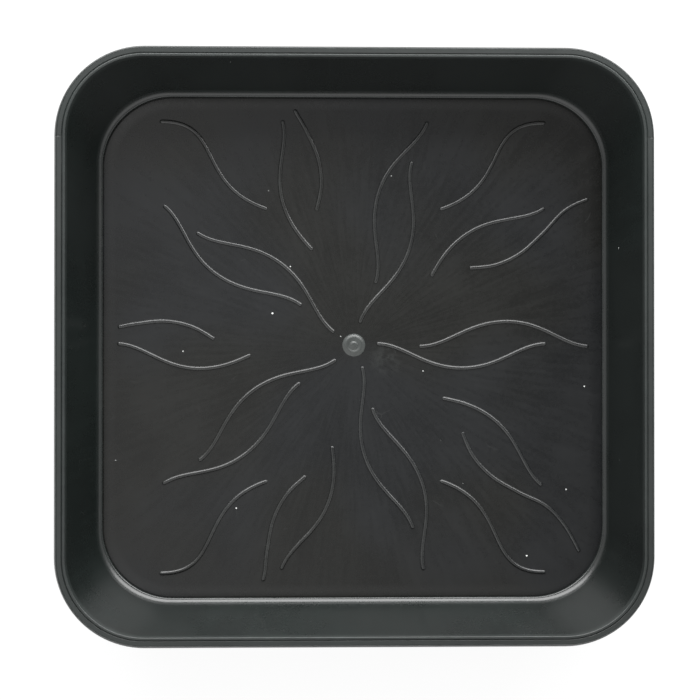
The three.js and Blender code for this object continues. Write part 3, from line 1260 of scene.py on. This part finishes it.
    def turned(self, course: Course, angle: float) -> Course:
        """A course turned about the middle."""
        turn = Matrix.Rotation(angle, 2)
        return lambda share: turn @ course(share)

    def in_field(self, course: Course) -> Course:
        """Cut a course where it leaves the square rib field.

        Args:
            course: The whole course.

        Returns:
            The part of it inside the field.
        """
        last = 1.0
        for probe in range(self.probes + 1):
            point = course(probe / self.probes)
            if max(abs(point.x), abs(point.y)) > self.edge:
                last = (probe - 1) / self.probes
                break
        return lambda share: course(share * last)

    def section(self) -> list[Pair]:
        """Draw a rib's section, a low arch.

        Returns:
            Points from its right foot over the crown to its left foot.
        """
        half = self.width / 2
        radius = (half**2 + self.height**2) / (2 * self.height)
        spring = math.degrees(math.acos(half / radius))
        return rounding((0.0, self.height - radius), radius, spring, 180 - spring, self.arch_steps)

    def shares(self, end: float) -> list[float]:
        """Space the sections of a rib, closer together at its ends.

        Args:
            end: Share of the rib that each rounded end takes up.

        Returns:
            Shares of the rib's course, from 0 to 1.
        """
        ends = [end * (1 - math.cos(math.pi / 2 * i / self.end_steps)) for i in range(self.end_steps)]
        middle = [end + (1 - 2 * end) * i / self.steps for i in range(self.steps + 1)]
        return ends + middle + [1 - share for share in reversed(ends)]

    def rib(self, name: str, course: Course) -> Piece:
        """Lay a rib along a course, with rounded ends.

        Args:
            name: Name of the CAD node that the rib replaces.
            course: Plan course of the rib.

        Returns:
            The finished piece.
        """
        fine = [course(i / self.probes) for i in range(self.probes + 1)]
        length = sum((b - a).length for a, b in zip(fine, fine[1:]))
        end = self.end_length / length
        aim = end * self.aim_share
        section = self.section()
        skin = Skin()
        rows = []
        for share in self.shares(end):
            depth = min(share, 1 - share, end) / end
            size = max(math.sqrt(1 - (1 - depth) ** 2), self.end_tip)
            heading = course(min(share + aim, 1.0)) - course(max(share - aim, 0.0))
            left = heading.normalized().orthogonal()
            centre = Vector(self.shape.pattern_shift) + course(share)
            points = []
            for aside, up in section:
                flat = centre + left * (aside * size)
                points.append(Vector((flat.x, flat.y, self.shape.floor_top + up * size)))
            row = skin.row(points)
            for vert, (_, up) in zip(row, section):
                vert[skin.edge] = up / self.height
            rows.append(row)
        skin.tube(rows)
        return skin.piece(name, RIB_PLASTIC)


@dataclass(frozen=True)
class StudioFloor:
    """White floor that shows white to the camera and still takes the saucer's shadow."""

    half_width: float = 15.0
    squares: int = 8
    drop: float = 0.1 * MM
    colour: Colour = (0.9, 0.9, 0.9, 1.0)
    glow_share: float = 0.9

    def build(self) -> None:
        mesh = bmesh.new()
        bmesh.ops.create_grid(mesh, x_segments=self.squares, y_segments=self.squares, size=self.half_width)
        data = bpy.data.meshes.new("studio_floor")
        mesh.to_mesh(data)
        mesh.free()
        data.materials.append(self.material())
        floor = bpy.data.objects.new("studio_floor", data)
        floor.location.z = -self.drop
        bpy.context.scene.collection.objects.link(floor)

    def material(self) -> bpy.types.Material:
        """Mix white paint that glows only where it is seen directly or in a reflection.

        Returns:
            The material.
        """
        material = bpy.data.materials.new("studio_floor")
        bench = NodeBench.cleared(material)
        path = bench.add("LightPath").outputs
        seen = bench.math("MAXIMUM", path["Is Camera Ray"], path["Is Glossy Ray"])
        seen = bench.math("MAXIMUM", seen, path["Is Transmission Ray"])
        share = bench.math("MULTIPLY", seen, self.glow_share)
        paint = bench.add("BsdfDiffuse", {"Color": self.colour}).outputs["BSDF"]
        glow = bench.add("Emission", {"Color": WHITE, "Strength": 1.0}).outputs["Emission"]
        mixed = bench.add("MixShader", {0: share, 1: paint, 2: glow}).outputs["Shader"]
        bench.add("OutputMaterial", {"Surface": mixed})
        return material


@dataclass(frozen=True)
class StudioSky:
    """Light room that is brightest in front and dims towards the ceiling, more so to the right.

    Attributes:
        walls: Brightness of the room in front, and behind beside the window.
        walls_turn: Backward parts of a direction between which it changes.
        horizon: Share of that brightness at the horizon, and above it.
        horizon_rise: Upward parts of a direction between which it changes.
        ceiling: Brightness of the ceiling towards the left, and towards the right.
        ceiling_turn: Sideways parts of a direction between which it changes.
        front_lift: Brightness that the ceiling gains towards the front.
        back_lift: Brightness that it gains towards the window.
        slant: Forward or backward part of a direction at which the gain is complete.
        ceiling_rise: Upward parts of a direction between which walls give way to ceiling.
    """

    walls: Pair = (2.0, 1.15)
    walls_turn: Pair = (-0.7, 0.1)
    horizon: Pair = (0.3, 1.0)
    horizon_rise: Pair = (0.05, 0.45)
    ceiling: Pair = (0.66, 0.0)
    ceiling_turn: Pair = (-0.18, 0.18)
    front_lift: float = 0.9
    back_lift: float = 0.75
    slant: float = 0.35
    ceiling_rise: Pair = (0.55, 0.78)

    def build(self) -> None:
        """Set the scene's world."""
        world = bpy.data.worlds.new("studio_sky")
        bpy.context.scene.world = world
        bench = NodeBench.cleared(world)
        direction = bench.add("TexCoord").outputs["Generated"]
        parts = bench.add("SeparateXYZ", {"Vector": direction}).outputs
        around = bench.ramp(parts["Y"], *self.walls_turn, *self.walls)
        walls = bench.math("MULTIPLY", around, bench.ramp(parts["Z"], *self.horizon_rise, *self.horizon))
        across = bench.ramp(parts["X"], *self.ceiling_turn, *self.ceiling)
        front = bench.ramp(parts["Y"], -self.slant, 0.0, self.front_lift, 0.0)
        back = bench.ramp(parts["Y"], 0.0, self.slant, 0.0, self.back_lift)
        ceiling = bench.math("ADD", across, bench.math("ADD", front, back))
        strength = bench.ramp(parts["Z"], *self.ceiling_rise, walls, ceiling)
        sky = bench.add("Background", {"Color": WHITE, "Strength": strength})
        bench.add("OutputWorld", {"Surface": sky.outputs["Background"]})


@dataclass(frozen=True)
class WindowLamp:
    """Rectangular area lamp behind the saucer, which it faces.

    Attributes:
        bearing: Direction from the saucer to the lamp, in degrees clockwise from the back.
        elevation: Height of that direction above the table, in degrees.
        distance: Distance of the lamp from the saucer's middle.
        width: Level side of the lamp.
        height: Other side of the lamp.
        radiance: Brightness of the lamp's face.
        power: Power of one square metre of a face of brightness 1.
    """

    bearing: float = 4.0
    elevation: float = 28.0
    distance: float = 1.3
    width: float = 2.8
    height: float = 1.0
    radiance: float = 8.0
    power: float = 4.0

    def build(self) -> None:
        """Place the lamp."""
        bearing = math.radians(self.bearing)
        elevation = math.radians(self.elevation)
        flat = math.cos(elevation)
        direction = Vector((flat * math.sin(bearing), flat * math.cos(bearing), math.sin(elevation)))
        data = bpy.data.lights.new("window_lamp", "AREA")
        data.shape = "RECTANGLE"
        data.size = self.width
        data.size_y = self.height
        data.energy = self.power * self.radiance * self.width * self.height
        lamp = bpy.data.objects.new("window_lamp", data)
        lamp.location = direction * self.distance
        lamp.rotation_euler = direction.to_track_quat("Z", "Y").to_euler()
        lamp.visible_camera = False
        bpy.context.scene.collection.objects.link(lamp)


@dataclass(frozen=True)
class PhotoCamera:
    """Camera above the saucer, at the photograph's viewing angle."""

    place: Place = (-34.4 * MM, -8.8 * MM, 1045 * MM)
    target: Place = (-3 * MM, -1.7 * MM, 45 * MM)
    lens: float = 103.7
    sensor: float = 36.0

    def build(self) -> None:
        """Make the camera and give it to the scene, with +Y up in the picture."""
        data = bpy.data.cameras.new("photo_camera")
        data.lens = self.lens
        data.sensor_width = self.sensor
        place = Vector(self.place)
        back = (place - Vector(self.target)).normalized()
        right = Vector((0, 1, 0)).cross(back).normalized()
        up = back.cross(right)
        camera = bpy.data.objects.new("photo_camera", data)
        camera.matrix_world = Matrix.Translation(place) @ Matrix((right, up, back)).transposed().to_4x4()
        bpy.context.scene.collection.objects.link(camera)
        bpy.context.scene.camera = camera


def main() -> None:
    """Build the studio and the saucer's features in order, and report each piece."""
    logging.basicConfig(level=logging.INFO, format="%(name)s: %(message)s")
    bpy.context.scene.view_settings.view_transform = "Standard"
    for fitting in (PhotoCamera, StudioFloor, StudioSky, WindowLamp):
        fitting().build()
    shape = SaucerShape()
    for feature in (FloorPanel, FootLedge, SideWall, RimLip, Gate, RibField):
        for piece in feature(shape).build():
            log.info("%s: %d faces", piece.name, len(piece.data.polygons))


if __name__ == "__main__":
    main()
